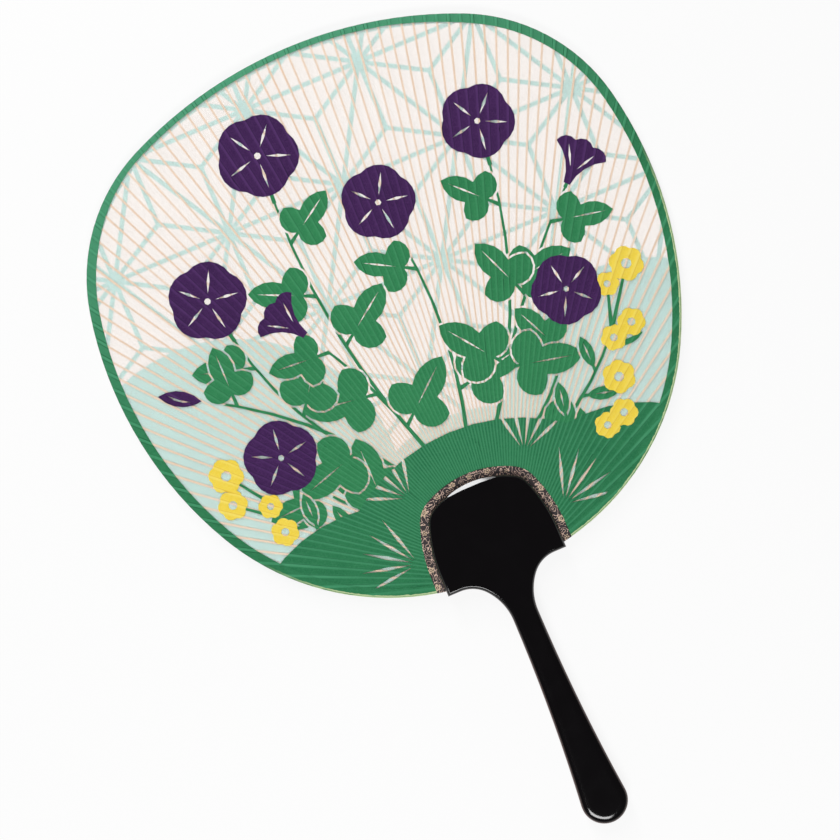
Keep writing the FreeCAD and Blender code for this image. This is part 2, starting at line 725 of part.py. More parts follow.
def make_front_papers():
    field = blade_face(IN_BINDING)
    stems, leaves, purple, yellow, flower_shadows, blossom_shadows = [], [], [], [], [], []

    def bloom(colour, shadows, drawing, point, direction):
        colour.append(placed(cut_paper(drawing.outline, drawing.openings), point, direction))
        shadows.append(placed(cut_paper(drawing.outline), point, direction))

    def leaf(drawing, point, direction, stalk, tuck):
        stalk_end = point + direction * (stalk + tuck)
        leaves.append(SimpleNamespace(drawing=drawing, point=point + direction * stalk, direction=direction,
                                      stalk=stem(point, stalk_end, 0)))

    for foot, tip, share, bow, sides, ending, scale in VINES:
        start, end = on_blade(foot, 0), on_blade(tip, share)
        stems.append(stem(start, end, bow))
        for number, side in enumerate(sides):
            along = FIRST_LEAF + (LAST_LEAF - FIRST_LEAF) * number / (len(sides) - 1)
            point, growth = stem_point(start, end, bow, along)
            size = dim.leaf_length * (LEAF_SCALE - LEAF_SHRINK * along)
            angle = (LEAF_ANGLE - LEAF_CLOSING * along) * SIDES[side]
            leaf(lobed_leaf(size), point, turned(growth, angle), dim.stalk_length, STALK_TUCK * size)
        growth = stem_point(start, end, bow, 1)[1]
        size = scale * ENDING_SIZES[ending]
        away = FLOWER_STAND * size if ending is flower else 0
        bloom(purple, flower_shadows, ending(size), end + growth * away, growth)
        stems.append(stem(end - growth * dim.vine_width, end + growth * (away + dim.vine_width), 0))
    for foot, tip, share, bow, sides, places in SPRAYS:
        start, fork = on_blade(foot, 0), on_blade(tip, share)
        stems.append(stem(start, fork, bow))
        for number, side in enumerate(sides):
            along = FIRST_SPRAY_LEAF + (LAST_SPRAY_LEAF - FIRST_SPRAY_LEAF) * number / (len(sides) - 1)
            point, growth = stem_point(start, fork, bow, along)
            outwards = turned(growth, SPRAY_LEAF_ANGLE * SIDES[side])
            leaf(plain_leaf(dim.sprig_leaf_length), point, outwards, dim.vine_width, dim.vine_width)
        for degrees, reach, scale in places:
            middle = on_blade(degrees, reach)
            stems.append(stem(fork, middle, 0))
            bloom(yellow, blossom_shadows, blossom(scale * dim.blossom_radius), middle, middle - fork)
    blooms = joined(flower_shadows + blossom_shadows)
    ground = make_hills(blooms)
    foliage = joined(stems).Faces
    for item in leaves:
        foliage = laid(foliage, item)
    foliage = joined(foliage).common(field).cut([blooms, ground])
    paper("foliage_papers", foliage.Faces, front_paper_back)
    paper("flower_papers", joined(purple).common(field).Faces, front_paper_back)
    paper("blossom_papers", joined(yellow).common(field).cut(flower_shadows).Faces, front_paper_back)


def make_hills(blooms):
    """Three overlapping hills round the head; returns them without their grass."""
    middle = cut_paper(circle(Vector(0, dim.hill_crest - dim.hill_radius, 0), dim.hill_radius))
    side_level = dim.side_hill_crest - dim.side_hill_radius
    sides = [cut_paper(circle(Vector(side * dim.side_hill_offset, side_level, 0), dim.side_hill_radius))
             for side in (-1, 1)]
    sheet_face = blade_face(IN_FOLD)
    ground = joined([middle] + sides).common(sheet_face)
    grass = []
    for angle in TUFTS:
        foot = on_blade(angle, TUFT_SHARE)
        for lean in TUFT_BLADES:
            growth = turned(spot(Vector(), 1, math.radians(angle)), -lean)
            root = foot + growth * dim.grass_spread
            point = root + growth * dim.grass_length
            grass.append(cut_paper(slit(root, point, dim.grass_width)))
    paper("hill_paper", ground.cut(grass + [blooms]).Faces, front_paper_back)
    return ground


def lattice_cells():
    """Openings of a hemp-leaf lattice: each triangle of a grid split in three from its middle."""
    pitch = dim.lattice_pitch
    rise = pitch * math.sqrt(3) / 2
    inradius = pitch / (2 * (2 + math.sqrt(3)))
    shrink = 1 - dim.lattice_line / 2 / inradius
    columns = math.ceil(blade_reach / pitch)
    cells = []
    for level in range(math.ceil(blade_reach / rise)):
        for column in range(-columns, columns):
            left = Vector((column + 0.5 * (level % 2)) * pitch, level * rise, 0)
            right = left + Vector(pitch, 0, 0)
            above = left + Vector(pitch / 2, rise, 0)
            beyond = above + Vector(pitch, 0, 0)
            for corners in ((left, right, above), (right, beyond, above)):
                middle = (corners[0] + corners[1] + corners[2]) / 3
                for first, second in ((0, 1), (1, 2), (2, 0)):
                    triangle = [corners[first], corners[second], middle]
                    edge_middle = (triangle[0] + triangle[1]) / 2
                    heart = edge_middle + (middle - edge_middle).normalize() * inradius
                    cells.append([heart + (corner - heart) * shrink for corner in triangle])
    return cells


# Pale hills behind: the angle and share of each hill's middle, and its radius against far_hill_radius.
FAR_HILLS = [(-52, 0.8, 1.0), (61, 0.86, 0.86), (8, -0.2, 0.9)]


def make_lattice_paper():
    """Pale paper on the back: hills below, an open lattice above."""
    sheet_face = blade_face(IN_FOLD)
    open_field = blade_face(IN_BINDING)
    far_hills = [cut_paper(circle(on_blade(degrees, share), scale * dim.far_hill_radius))
                 for degrees, share, scale in FAR_HILLS]
    sky = open_field.cut(far_hills)
    openings = []
    for corners in lattice_cells():
        cell = sky.common(cut_paper(corners))
        openings += [face for face in cell.Faces if face.Area > dim.lattice_line ** 2]
    paper("lattice_paper", sheet_face.cut(openings).Faces, back_paper_back)


make_handle()
make_gauze()
make_rim_binding()
make_neck_trim("neck_trim_front", BLADE_FRONT)
make_neck_trim("neck_trim_back", BLADE_BACK + " - sizes.trim_thickness")
make_ribs()
make_front_papers()
make_lattice_paper()
doc.recompute()

for item in doc.Objects:
    if "Invalid" in item.State or "Error" in item.State:
        raise RuntimeError("%s failed: %s" % (item.Label, item.State))
for item in subparts:
    if item.Shape.isNull() or not item.Shape.isValid():
        raise RuntimeError("%s has no valid shape" % item.Label)

os.makedirs("parts", exist_ok=True)
for item in subparts:
    item.Shape.exportStep("parts/%s.step" % item.Label)
print("%d sub-parts, %d solids" % (len(subparts), sum(len(item.Shape.Solids) for item in subparts)))
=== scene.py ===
import math

import bmesh
import bpy
import numpy as np
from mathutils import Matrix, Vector


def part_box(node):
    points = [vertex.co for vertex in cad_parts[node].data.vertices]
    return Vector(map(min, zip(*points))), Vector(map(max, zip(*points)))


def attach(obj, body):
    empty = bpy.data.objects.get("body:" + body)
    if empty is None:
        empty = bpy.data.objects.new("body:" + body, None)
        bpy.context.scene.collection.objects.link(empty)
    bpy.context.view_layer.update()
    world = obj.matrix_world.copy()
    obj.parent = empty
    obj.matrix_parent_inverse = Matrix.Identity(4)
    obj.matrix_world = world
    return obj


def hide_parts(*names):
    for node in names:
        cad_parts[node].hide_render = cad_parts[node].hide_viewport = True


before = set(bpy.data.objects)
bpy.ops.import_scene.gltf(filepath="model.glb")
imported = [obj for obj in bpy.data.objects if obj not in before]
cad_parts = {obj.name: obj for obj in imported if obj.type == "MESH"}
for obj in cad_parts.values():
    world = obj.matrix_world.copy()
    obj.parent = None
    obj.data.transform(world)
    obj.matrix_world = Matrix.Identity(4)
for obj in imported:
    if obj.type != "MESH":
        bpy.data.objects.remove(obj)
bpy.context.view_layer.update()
mm = 0.001  # the scene is in metres
upwards = Vector((0, 0, 1))
levelNormal = 0.5  # a face whose normal rises less than this is a wall
handleBevel = 1.7 * mm  # height of the bevel along the edges of the solid handle


def linearOf(hexColour):
    channels = [int(hexColour[place:place + 2], 16) / 255 for place in (1, 3, 5)]
    linear = [value / 12.92 if value <= 0.04045 else ((value + 0.055) / 1.055) ** 2.4 for value in channels]
    return (*linear, 1.0)


def addNode(tree, kind, sockets=(), **settings):
    node = tree.nodes.new(kind)
    for name, value in settings.items():
        setattr(node, name, value)
    if isinstance(sockets, dict):
        pairs = [(node.inputs[name], value) for name, value in sockets.items()]
    else:
        pairs = zip([socket for socket in node.inputs if socket.enabled], sockets)
    for socket, value in pairs:
        if isinstance(value, bpy.types.Node):
            value = next(output for output in value.outputs if output.enabled)
        if isinstance(value, bpy.types.NodeSocket):
            tree.links.new(value, socket)
        else:
            socket.default_value = value
    return node


def startMaterial(name):
    material = bpy.data.materials.new(name)
    material.use_nodes = True
    material.node_tree.nodes.clear()
    return material, material.node_tree


# camera: straight down on the lying fan, turned so that the handle leans to the right as photographed
photoFrame = {
    "side": 840,  # pixels, width and height
    "pixel": 0.5 * mm,  # size of one pixel on the blade
    "ribCentre": (510.9, 580.0),  # pixel where the lines of the ribs meet
    "turn": math.radians(-23.0),
    "lens": 100.0,
    "sensor": 36.0,
}


def makeCamera(look):
    data = bpy.data.cameras.new("photoCamera")
    data.lens = look["lens"]
    data.sensor_width = look["sensor"]
    data.dof.use_dof = False
    camera = bpy.data.objects.new("photoCamera", data)
    bpy.context.scene.collection.objects.link(camera)
    right = Vector((math.cos(look["turn"]), math.sin(look["turn"]), 0))
    up = Vector((-right.y, right.x, 0))
    across = (look["side"] / 2 - look["ribCentre"][0]) * look["pixel"]
    along = (look["ribCentre"][1] - look["side"] / 2) * look["pixel"]
    distance = look["side"] * look["pixel"] * look["lens"] / look["sensor"]
    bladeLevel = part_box("gauze_sheet")[1][2]
    camera.location = right * across + up * along + upwards * (bladeLevel + distance)
    camera.rotation_euler = (0, 0, look["turn"])
    bpy.context.scene.camera = camera
    print("camera stands", round(distance, 3), "m above the blade")


makeCamera(photoFrame)


# ribs: their lines are read from the frame, and everything pasted on them follows those lines
def readRib(points):
    points = np.array([(point.x, point.y) for point in points])
    axis = points.mean(axis=0)
    axis /= np.linalg.norm(axis)
    along = points @ axis
    across = np.abs(points @ np.array((axis[1], -axis[0])))
    foot, tip = along.min(), along.max()
    nearFoot = along < (foot + tip) / 2
    return {
        "turn": math.atan2(axis[0], axis[1]),
        "foot": foot,
        "tip": tip,
        "footHalf": across[nearFoot].max(),
        "tipHalf": across[~nearFoot].max(),
    }


def readRibs():
    found = []
    for name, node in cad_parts.items():
        if name == "rib_centre":
            found.append(readRib([vertex.co for vertex in node.data.vertices]))
        elif name.startswith("rib_"):
            for side in (-1, 1):
                found.append(readRib([v.co for v in node.data.vertices if v.co.x * side > 0]))
    return sorted(found, key=lambda rib: rib["turn"])


ribs = readRibs()
print("ribs read:", len(ribs))

# sheets pasted on the ribs: they hang a little between two ribs and stand proud over each one
drape = {
    "cuts": (0.0, 0.22, 0.5, 0.78, 1.0),  # lines across each gap, as shares of it
    "crossCut": 14 * mm,  # spacing of the cuts square to the middle rib
    "sag": 0.22 * mm,  # in a full gap
    "fullGap": 4.0 * mm,
    "leastCrest": 0.8,  # how much the ribs mark the sheet where they stand close
    "crispEdge": 50,  # degrees, edges of a sheet that bend more stay crisp
    "weld": 0.001 * mm,
}


def ribEdge(rib, side):
    axis = Vector((math.sin(rib["turn"]), math.cos(rib["turn"]), 0))
    across = Vector((axis.y, -axis.x, 0)) * side
    return axis * rib["foot"] + across * rib["footHalf"], axis * rib["tip"] + across * rib["tipHalf"]


def gapLines(cuts):
    lines = [ribEdge(ribs[0], -1)]
    for left, right in zip(ribs, ribs[1:]):
        leftFoot, leftTip = ribEdge(left, 1)
        rightFoot, rightTip = ribEdge(right, -1)
        for share in cuts:
            lines.append((leftFoot.lerp(rightFoot, share), leftTip.lerp(rightTip, share)))
    lines.append(ribEdge(ribs[-1], 1))
    return lines


def turnOf(point):
    return math.atan2(point.x, point.y)


def faceReach(face):
    turns = [turnOf(vertex.co) for vertex in face.verts]
    return min(turns), max(turns), face


def cutAlongRibs(shape, cuts=drape["cuts"]):
    waiting = sorted((faceReach(face) for face in shape.faces), key=lambda item: -item[0])
    active = []
    for foot, tip in gapLines(cuts):
        low, high = sorted((turnOf(foot), turnOf(tip)))
        while waiting and waiting[-1][0] < high:
            active.append(waiting.pop())
        active = [item for item in active if item[1] > low]
        faces = [item[2] for item in active]
        if not faces:
            continue
        edges = {edge for face in faces for edge in face.edges}
        corners = {corner for face in faces for corner in face.verts}
        along = tip - foot
        cut = bmesh.ops.bisect_plane(
            shape, geom=[*corners, *edges, *faces], dist=drape["weld"],
            plane_co=foot, plane_no=(along.y, -along.x, 0),
        )
        active = [faceReach(part) for part in cut["geom"] if isinstance(part, bmesh.types.BMFace)]


def cutAcross(shape):
    reaches = [vertex.co.y for vertex in shape.verts]
    first, last = (math.floor(reach / drape["crossCut"]) for reach in (min(reaches), max(reaches)))
    for number in range(first + 1, last + 1):
        parts = [*shape.verts, *shape.edges, *shape.faces]
        level = (0, number * drape["crossCut"], 0)
        bmesh.ops.bisect_plane(shape, geom=parts, dist=drape["weld"], plane_co=level, plane_no=(0, 1, 0))


def sagShares(points, squareness=2):
    turns = np.array([rib["turn"] for rib in ribs])
    foot, tip, footHalf, tipHalf = (
        np.array([rib[key] for rib in ribs]) for key in ("foot", "tip", "footHalf", "tipHalf")
    )
    turn = np.arctan2(points[:, 0], points[:, 1])
    reach = np.hypot(points[:, 0], points[:, 1])
    right = np.clip(np.searchsorted(turns, turn), 1, len(ribs) - 1)
    left = right - 1

    def halfWidth(rib):
        share = np.clip((reach - foot[rib]) / (tip[rib] - foot[rib]), 0, 1)
        return footHalf[rib] + (tipHalf[rib] - footHalf[rib]) * share

    fromLeft = reach * np.sin(turn - turns[left]) - halfWidth(left)
    fromRight = reach * np.sin(turns[right] - turn) - halfWidth(right)
    gap = np.maximum(fromLeft + fromRight, drape["weld"])
    place = np.clip(fromLeft / gap, 0, 1)
    crest = np.abs(2 * place - 1) ** squareness
    openness = np.clip(gap / drape["fullGap"], 0, 1)
    beyond = np.minimum(fromLeft + 2 * halfWidth(left), fromRight + 2 * halfWidth(right)) < -drape["weld"]
    # past the last rib the sheet lies flat and unmarked
    sag = np.where(beyond, 0, (1 - crest) * openness)
    mark = np.where(beyond, 0, crest * np.maximum(openness, drape["leastCrest"]))
    return sag, mark, np.where(beyond, 0.5, place)


def weldedCopy(node):
    shape = bmesh.new()
    shape.from_mesh(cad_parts[node].data)
    bmesh.ops.remove_doubles(shape, verts=shape.verts, dist=drape["weld"])
    return shape


def hangBetweenRibs(shape, fall):
    points = np.array([vertex.co for vertex in shape.verts])
    onRib = shape.verts.layers.float.new("onRib")  # 1 along a rib, 0 midway between two
    gapPlace = shape.verts.layers.float.new("gapPlace")  # from 0 at the left of a gap to 1 at its right
    for vertex, share, mark, place in zip(shape.verts, *sagShares(points)):
        vertex.co.z -= fall * share
        vertex[onRib] = mark
        vertex[gapPlace] = place


def finishPiece(shape, name, node, material, crispEdge):
    for face in shape.faces:
        face.smooth = True
    for edge in shape.edges:
        if edge.calc_face_angle(0) > math.radians(crispEdge):
            edge.smooth = False
    mesh = bpy.data.meshes.new(name)
    shape.to_mesh(mesh)
    shape.free()
    mesh.materials.append(material)
    piece = bpy.data.objects.new(name, mesh)
    bpy.context.scene.collection.objects.link(piece)
    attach(piece, "root")
    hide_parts(node)
    print(name, "has", len(mesh.polygons), "faces")
    return piece


# cut papers: hand-dyed long-fibre paper, pasted wet on gauze and ribs and rubbed down
# ridgeHighlight: a painted highlight on the crest over each rib, partly paper rubbed paler there
paperSheets = {
    "hillPaper": {
        "node": "hill_paper", "slot": "green_paper", "side": 1,
        "deep": "#1a6b43", "light": "#2f8253", "fibre": "#539b72", "ridgeHighlight": "#4b9d71", "ridgeHighlightShow": 0.85,
        # ribShade: painted shade along one side of each rib
        "ribShade": "#155a37",
    },
    "foliagePapers": {
        "node": "foliage_papers", "slot": "green_paper", "side": 1,
        "deep": "#237648", "light": "#358c58", "fibre": "#56a070", "ridgeHighlight": "#4a9d6c", "ridgeHighlightShow": 0.6,
        "ribShade": "#195f38",
    },
    "flowerPapers": {
        "node": "flower_papers", "slot": "purple_paper", "side": 1,
        "deep": "#301342", "light": "#47215b", "fibre": "#64407a", "ridgeHighlight": "#56326d", "ridgeHighlightShow": 0.6,
        "ribShade": "#220c30",
    },
    "blossomPapers": {
        "node": "blossom_papers", "slot": "yellow_paper", "side": 1,
        "deep": "#f2d034", "light": "#fbe058", "fibre": "#fff08a", "ridgeHighlight": "#fdea78", "ridgeHighlightShow": 0.55,
        "ribShade": "#e2b52a",
    },
    "latticePaper": {
        "node": "lattice_paper", "slot": "aqua_paper", "side": -1,
        "deep": "#b8f1f4", "light": "#c8f8fa", "fibre": "#dcfefc", "ridgeHighlight": "#c4f8f8", "ridgeHighlightShow": 0.55,
        "ribShade": "#a8e6ea",
    },
}
paperLook = {
    "cloud": 16 * mm,  # uneven dye
    "grain": 0.6 * mm,  # real specks are a tenth of that, drawn coarser so that they show
    "grainShow": 0.7,
    "fibreLength": 5.0 * mm,
    "fibreWidth": 0.30 * mm,  # real fibres are 0.03 mm wide, drawn coarser so that they show
    "fibreTurns": (0.35, 1.45, 2.55),
    "fibreEdges": (0.56, 0.74),  # where a strand begins and is full, in the noise
    "fibreShow": 0.30,
    "ridgeHighlightPower": 3.0,  # narrows the painted highlight line along a rib
    "ribShadeShare": 0.12,  # share of a gap beside each rib that takes painted shade, standing for the shaded flank of its ridge
    "ribShadeShow": 0.8,
    "tooth": 0.45 * mm,
    "relief": 0.05 * mm,
    "roughness": 0.86,
    "specular": 0.25,
}


def fibrePaper(tree, look):
    # long-fibre paper dyed in the sheet: matt, faint pale fibres, cloudy dye, paler along each rib, partly
    # paper rubbed paler and partly a painted highlight on the ridge
    place = addNode(tree, "ShaderNodeTexCoord").outputs["Object"]
    cloud = addNode(tree, "ShaderNodeTexNoise", {
        "Vector": place, "Scale": 1 / paperLook["cloud"], "Detail": 6.0, "Roughness": 0.65,
    })
    stretch = (1 / paperLook["fibreLength"], 1 / paperLook["fibreWidth"], 1)
    fibres = 0.0
    for turn in paperLook["fibreTurns"]:
        turned = addNode(tree, "ShaderNodeMapping", {"Vector": place, "Rotation": (0, 0, turn)})
        laid = addNode(tree, "ShaderNodeMapping", {"Vector": turned, "Scale": stretch})
        strands = addNode(tree, "ShaderNodeTexNoise", {"Vector": laid, "Scale": 1.0, "Detail": 1.5})
        lines = addNode(tree, "ShaderNodeMapRange", (strands, *paperLook["fibreEdges"], 0.0, 1.0))
        fibres = addNode(tree, "ShaderNodeMath", (fibres, lines), operation="MAXIMUM")
    grain = addNode(tree, "ShaderNodeTexNoise", {
        "Vector": place, "Scale": 1 / paperLook["grain"], "Detail": 2.0,
    })
    specks = addNode(tree, "ShaderNodeMath", (grain, 0.5), operation="SUBTRACT")  # darker and lighter alike
    uneven = addNode(
        tree, "ShaderNodeMath", (specks, 2 * paperLook["grainShow"], cloud), operation="MULTIPLY_ADD",
    )
    dye = addNode(
        tree, "ShaderNodeMix", (uneven, linearOf(look["deep"]), linearOf(look["light"])), data_type="RGBA",
    )
    shown = addNode(tree, "ShaderNodeMath", (fibres, paperLook["fibreShow"]), operation="MULTIPLY")
    strewn = addNode(tree, "ShaderNodeMix", (shown, dye, linearOf(look["fibre"])), data_type="RGBA")
    # painted highlight along each rib's crest, partly paper rubbed paler there
    onRib = addNode(tree, "ShaderNodeAttribute", attribute_name="onRib").outputs["Fac"]
    crest = addNode(tree, "ShaderNodeMath", (onRib, paperLook["ridgeHighlightPower"]), operation="POWER")
    rubbed = addNode(tree, "ShaderNodeMath", (crest, look["ridgeHighlightShow"]), operation="MULTIPLY")
    colour = addNode(tree, "ShaderNodeMix", (rubbed, strewn, linearOf(look["ridgeHighlight"])), data_type="RGBA")
    tooth = addNode(tree, "ShaderNodeTexNoise", {
        "Vector": place, "Scale": 1 / paperLook["tooth"], "Detail": 2.0,
    })
    height = addNode(tree, "ShaderNodeMath", (fibres, tooth), operation="ADD")
    bump = addNode(
        tree, "ShaderNodeBump", {"Height": height, "Strength": 0.5, "Distance": paperLook["relief"]},
    )
    return colour, bump


def closePaper(tree, colour, bump):
    shader = addNode(tree, "ShaderNodeBsdfPrincipled", {
        "Base Color": colour,
        "Roughness": paperLook["roughness"],
        "Specular IOR Level": paperLook["specular"],
        "Normal": bump,
    })
    addNode(tree, "ShaderNodeOutputMaterial", (shader,))


def dyedPaper(name, look):
    material, tree = startMaterial(name)
    plain, bump = fibrePaper(tree, look)
    # painted shade along one side of each rib, standing for the shaded flank of its ridge
    place = addNode(tree, "ShaderNodeAttribute", attribute_name="gapPlace").outputs["Fac"]
    ribShade = addNode(
        tree, "ShaderNodeMapRange", (place, 0.0, paperLook["ribShadeShare"], paperLook["ribShadeShow"], 0.0),
    )
    colour = addNode(tree, "ShaderNodeMix", (ribShade, plain, linearOf(look["ribShade"])), data_type="RGBA")
    closePaper(tree, colour, bump)
    return material


def makeCutPapers():
    for name, look in paperSheets.items():
        shape = weldedCopy(look["node"])
        cutAcross(shape)
        cutAlongRibs(shape)
        hangBetweenRibs(shape, drape["sag"] * look["side"])
        material = dyedPaper(name + "DyedFibrePaper", look)
        finishPiece(shape, name, look["node"], material, drape["crispEdge"])


makeCutPapers()

# gauze: one stretched sheet of open plain-weave silk over the ribs
gauze = {
    "thread": "#ffe8d6",
    "shade": "#f8dcc8",
    "spacing": 0.42 * mm,  # real threads stand 0.15 mm apart, drawn coarser so that they show close by
    "threadEdges": (-0.4, 0.9),  # heights of the wave where a thread begins and is full
    "openCover": 0.13,  # share of light that the thin places stop
    "threadCover": 0.36,
    "slub": 6 * mm,  # uneven tone of the yarn
    "relief": 0.03 * mm,
    "roughness": 0.8,
    "specular": 0.2,
    "sheen": 0.2,
}


def silkGauze(look):
    # raw silk woven open and sized: thin pale veil, faint crossing threads, a soft sheen
    material, tree = startMaterial("wovenSilkGauze")
    place = addNode(tree, "ShaderNodeTexCoord").outputs["Object"]
    parts = addNode(tree, "ShaderNodeSeparateXYZ", (place,))
    perMetre = 2 * math.pi / look["spacing"]
    threads = -1.0  # the foot of a wave
    for axis in ("X", "Y"):
        phase = addNode(tree, "ShaderNodeMath", (parts.outputs[axis], perMetre), operation="MULTIPLY")
        wave = addNode(tree, "ShaderNodeMath", (phase,), operation="COSINE")
        threads = addNode(tree, "ShaderNodeMath", (threads, wave), operation="MAXIMUM")
    slub = addNode(tree, "ShaderNodeTexNoise", {"Vector": place, "Scale": 1 / look["slub"], "Detail": 3.0})
    colour = addNode(
        tree, "ShaderNodeMix", (slub, linearOf(look["shade"]), linearOf(look["thread"])), data_type="RGBA",
    )
    cover = addNode(
        tree, "ShaderNodeMapRange", (threads, *look["threadEdges"], look["openCover"], look["threadCover"]),
    )
    bump = addNode(tree, "ShaderNodeBump", {"Height": threads, "Strength": 0.3, "Distance": look["relief"]})
    shader = addNode(tree, "ShaderNodeBsdfPrincipled", {
        "Base Color": colour,
        "Roughness": look["roughness"],
        "Sheen Weight": look["sheen"],
        "Specular IOR Level": look["specular"],
        "Alpha": cover,
        "Normal": bump,
    })
    addNode(tree, "ShaderNodeOutputMaterial", (shader,))
    return material


def makeGauze():
    shape = weldedCopy("gauze_sheet")
    under = [face for face in shape.faces if face.normal.z < levelNormal]
    bmesh.ops.delete(shape, geom=under, context="FACES")  # the front face alone is the sheet
    cutAcross(shape)
    cutAlongRibs(shape)
    hangBetweenRibs(shape, drape["sag"])
    area = sum(face.calc_area() for face in shape.faces)
    material = silkGauze(gauze)
    sheet = finishPiece(shape, "gauzeSheet", "gauze_sheet", material, drape["crispEdge"])
    print("gauze covers", round(area, 4), "square metres")


makeGauze()

# ribs: split bamboo, planed square
bamboo = {
    "pale": "#fbecdb",
    "deep": "#f2d8bd",
    "fibre": 0.14 * mm,  # width across the rib
    "fibreLength": 30 * mm,
    "middleReach": 160 * mm,  # about halfway out along a rib, where the fibres have that width
    "ribChange": 0.7,  # how fast the tone changes from rib to rib
    "toneEdges": (0.75, 1.25),
    "relief": 0.03 * mm,
    "roughness": 0.55,
}


def splitBamboo(look):
    # bamboo split along the grain: straw yellow with long fine fibres, each rib a little different
    material, tree = startMaterial("splitBamboo")
    place = addNode(tree, "ShaderNodeTexCoord").outputs["Object"]
    parts = addNode(tree, "ShaderNodeSeparateXYZ", (place,))
    turn = addNode(tree, "ShaderNodeMath", (parts.outputs["X"], parts.outputs["Y"]), operation="ARCTAN2")
    reach = addNode(tree, "ShaderNodeVectorMath", (place,), operation="LENGTH").outputs["Value"]
    fibresPerTurn = look["middleReach"] / look["fibre"]
    across = addNode(tree, "ShaderNodeMath", (turn, fibresPerTurn), operation="MULTIPLY")
    along = addNode(tree, "ShaderNodeMath", (reach, 1 / look["fibreLength"]), operation="MULTIPLY")
    grain = addNode(tree, "ShaderNodeCombineXYZ", (across, along, 0.0))
    fibres = addNode(tree, "ShaderNodeTexNoise", {"Vector": grain, "Scale": 1.0, "Detail": 2.0})
    ribStep = ribs[1]["turn"] - ribs[0]["turn"]
    each = addNode(tree, "ShaderNodeMath", (turn, 1 / ribStep), operation="MULTIPLY")
    choice = addNode(
        tree, "ShaderNodeTexNoise", {"W": each, "Scale": look["ribChange"]}, noise_dimensions="1D",
    )
    mixed = addNode(tree, "ShaderNodeMath", (fibres, choice), operation="ADD")
    share = addNode(tree, "ShaderNodeMapRange", (mixed, *look["toneEdges"], 0.0, 1.0))
    colour = addNode(
        tree, "ShaderNodeMix", (share, linearOf(look["deep"]), linearOf(look["pale"])), data_type="RGBA",
    )
    bump = addNode(tree, "ShaderNodeBump", {"Height": fibres, "Strength": 0.4, "Distance": look["relief"]})
    shader = addNode(tree, "ShaderNodeBsdfPrincipled", {
        "Base Color": colour, "Roughness": look["roughness"], "Normal": bump,
    })
    addNode(tree, "ShaderNodeOutputMaterial", (shader,))
    return material


def finishRibs():
    material = splitBamboo(bamboo)
    for name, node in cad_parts.items():
        if name.startswith("rib_"):
            node.data.materials.clear()
            node.data.materials.append(material)


finishRibs()
print("ribs finished in bamboo")

# rim binding: a strip of green paper folded over the edge, creased at each rib
rim = {
    # ridgeHighlight: a painted highlight on the crest over each rib, partly paper rubbed paler there
    "deep": "#226f44", "light": "#338558", "fibre": "#4f9d74", "ridgeHighlight": "#4a9f72", "ridgeHighlightShow": 0.6,
    "foldRound": 0.72 * mm,
    "foldSteps": 4,
    "sag": 0.30 * mm,
    "squareness": 12,  # flat between the ribs, with a narrow crest on each one
    "cuts": (0.0, 0.12, 0.5, 0.88, 1.0),
    "creaseShade": "#1b5d39",  # painted shade beside each rib, for the shaded flank of its crest
    "creaseShadeShow": 0.9,
    "creaseBegins": (0.05, 0.25),  # how near the crest the painted shade begins and ends, 1 on it
    "creaseEnds": (0.5, 0.9),
    "creaseShadePatch": 14 * mm,  # the painted shade is stronger beside some ribs than others
    "patchEdges": (0.4, 0.6),
    "leastPatch": 0.3,
    # painted light: the strip paler on the side that faces the lamps
    "sideLight": "#55a47f",
    "sideLightShow": 0.8,
    "sideLightTowards": (-0.16, 0.99),  # the side of the fan where painted light pales the strip
    "narrowBy": 0.33,  # share by which the strip is narrower at the middle of that side
    "narrowFrom": (0.68, 0.86),
    "paleBand": "#c6d8a4",
    "bandLine": "#3c8a58",
    "paleBandEdges": (1.5 * mm, 1.7 * mm),  # from the fold, before the rag is taken off
    "rag": 2.5 * mm,  # size of the nicks along the worn band
    "ragDepth": 0.9 * mm,
    "bandLineAt": (0.42 * mm, 0.62 * mm),
    "paleBandTowards": (0.43, -0.90),  # the side of the fan where the pale band runs
    "paleBandFrom": (0.25, 0.5),
}


def distancesTo(points, path):
    path = np.array(path)
    starts, steps = path[:-1], np.diff(path, axis=0)
    lengths = np.linalg.norm(steps, axis=1)
    before = np.concatenate(([0], np.cumsum(lengths)))[:-1]
    places = []
    for point in points:
        share = np.clip(((point - starts) * steps).sum(axis=1) / lengths ** 2, 0, 1)
        gaps = np.linalg.norm(starts + steps * share[:, None] - point, axis=1)
        nearest = int(np.argmin(gaps))
        places.append((before[nearest] + lengths[nearest] * share[nearest], gaps[nearest]))
    return places


